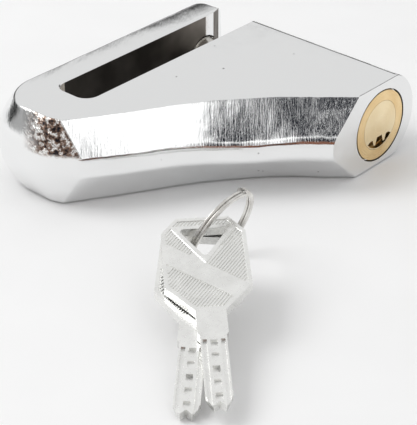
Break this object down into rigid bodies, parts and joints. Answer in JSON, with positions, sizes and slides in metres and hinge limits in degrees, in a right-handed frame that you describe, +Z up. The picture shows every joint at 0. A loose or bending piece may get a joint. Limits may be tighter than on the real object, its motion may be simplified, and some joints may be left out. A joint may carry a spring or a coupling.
{
  "type": "disc brake lock",
  "caption": "Slotted chromed lock that closes over a motorcycle's brake disc with a key-worked locking pin, with two flat keys on a split ring.",
  "frame": {"origin": "on the bottom flat face, under the lock cylinder's axis, midway between the key end and the near wall of the slot", "axes": "+Z up; +Y from the key face to the arm, along the locking pin; +X out of the slot's mouth"},
  "size_m": [0.1067, 0.0949, 0.02],
  "materials": {
    "chrome_shell": "bright chrome over a hand-ground casting",
    "ring_brass": "turned brass",
    "plug_brass": "polished brass",
    "pin_steel": "ground hardened steel",
    "inner_steel": "plain spring steel",
    "ring_wire": "nickel-plated flat wire",
    "key_nickel": "satin nickel plate"
  },
  "bodies": {
    "shell": {"lock_body": "chrome_shell", "guide_pin": "inner_steel"},
    "cylinder": {"cylinder_housing": "ring_brass", "pin_cover_strip": "inner_steel", "pin_carrier": "ring_brass", "rim_pin_left": "inner_steel", "rim_pin_right": "inner_steel", "cross_pin": "inner_steel", "locking_pin": "pin_steel", "return_spring": "inner_steel", "latch_spring": "inner_steel", "driver_pin_1": "plug_brass", "driver_pin_2": "plug_brass", "driver_pin_3": "plug_brass", "driver_pin_4": "plug_brass", "driver_pin_5": "plug_brass", "pin_spring_1": "inner_steel", "pin_spring_2": "inner_steel", "pin_spring_3": "inner_steel", "pin_spring_4": "inner_steel", "pin_spring_5": "inner_steel"},
    "plug_unit": {"plug": "plug_brass", "plug_clip": "inner_steel", "tail_cam": "inner_steel", "cam_screw": "inner_steel", "key_pin_1": "plug_brass", "key_pin_2": "plug_brass", "key_pin_3": "plug_brass", "key_pin_4": "plug_brass", "key_pin_5": "plug_brass"},
    "latch": {"latch_bolt": "inner_steel"},
    "ring": {"split_ring": "ring_wire"},
    "front_key": {"key_1": "key_nickel"},
    "back_key": {"key_2": "key_nickel"}
  },
  "joints": [
    {"name": "cylinder_slide", "type": "slide", "parent": "shell", "child": "cylinder", "axis": [0, -1, 0], "range_m": [0, 0.014], "deforming": ["return_spring"]},
    {"name": "plug_turn", "type": "hinge", "parent": "cylinder", "child": "plug_unit", "pos_m": [0, -0.0205, 0.0097], "axis": [0, 1, 0], "range_deg": [0, 90]},
    {"name": "latch_draw", "type": "slide", "parent": "cylinder", "child": "latch", "axis": [1, 0, 0], "range_m": [0, 0.00151], "deforming": ["latch_spring"]},
    {"name": "ring_lift", "type": "slide", "parent": "shell", "child": "ring", "axis": [0, 0, 1], "range_m": [0, 0.04]},
    {"name": "front_key_swing", "type": "hinge", "parent": "ring", "child": "front_key", "pos_m": [-0.0616, -0.02453, 0.00942], "axis": [-0.1688, -0.1515, 0.9739], "range_deg": [-2, 2]},
    {"name": "back_key_swing", "type": "hinge", "parent": "ring", "child": "back_key", "pos_m": [-0.0616, -0.02453, 0.00942], "axis": [-0.1688, -0.1515, 0.9739], "range_deg": [-2, 2]}
  ],
  "couplings": [
    {"joint": "latch_draw", "follows": "plug_turn", "m_per_rad": 0.00095493}
  ]
}
